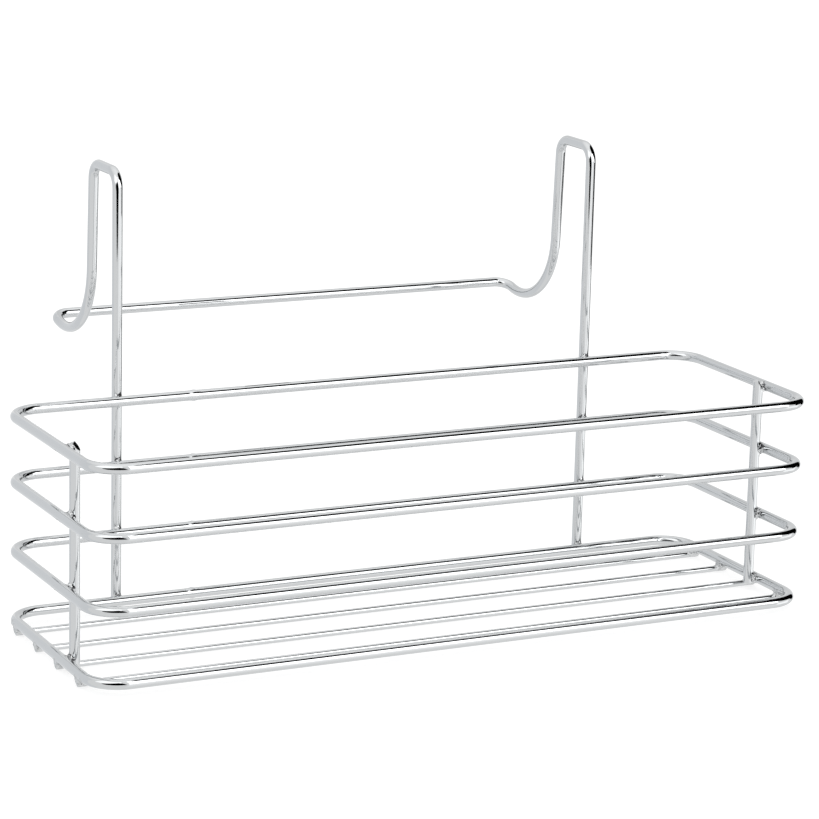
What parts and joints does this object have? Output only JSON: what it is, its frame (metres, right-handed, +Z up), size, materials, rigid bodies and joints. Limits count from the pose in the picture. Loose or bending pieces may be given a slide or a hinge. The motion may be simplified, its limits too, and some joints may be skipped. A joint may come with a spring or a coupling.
{
  "type": "shower caddy",
  "caption": "Open-top wire basket of stacked rings with a slatted wire floor, hung on a screen edge by a bent wire with two hooks and a crossbar.",
  "frame": {"origin": "on the ground under the middle of the whole caddy, hooks included", "axes": "+X to the right along the basket, +Y backwards towards the screen, +Z up"},
  "size_m": [0.3, 0.174, 0.1733],
  "materials": {
    "chrome_wire": "bright polished chrome plate",
    "weld": "chrome plate over a rough weld"
  },
  "bodies": {
    "root": {"base_ring": "chrome_wire", "lower_ring": "chrome_wire", "upper_ring": "chrome_wire", "top_ring": "chrome_wire", "upright_left": "chrome_wire", "upright_right": "chrome_wire", "hanger": "chrome_wire", "floor_wire_1": "chrome_wire", "floor_wire_2": "chrome_wire", "floor_wire_3": "chrome_wire", "floor_wire_4": "chrome_wire", "riser_welds": "weld", "upright_welds": "weld", "floor_welds": "weld"}
  },
  "joints": []
}
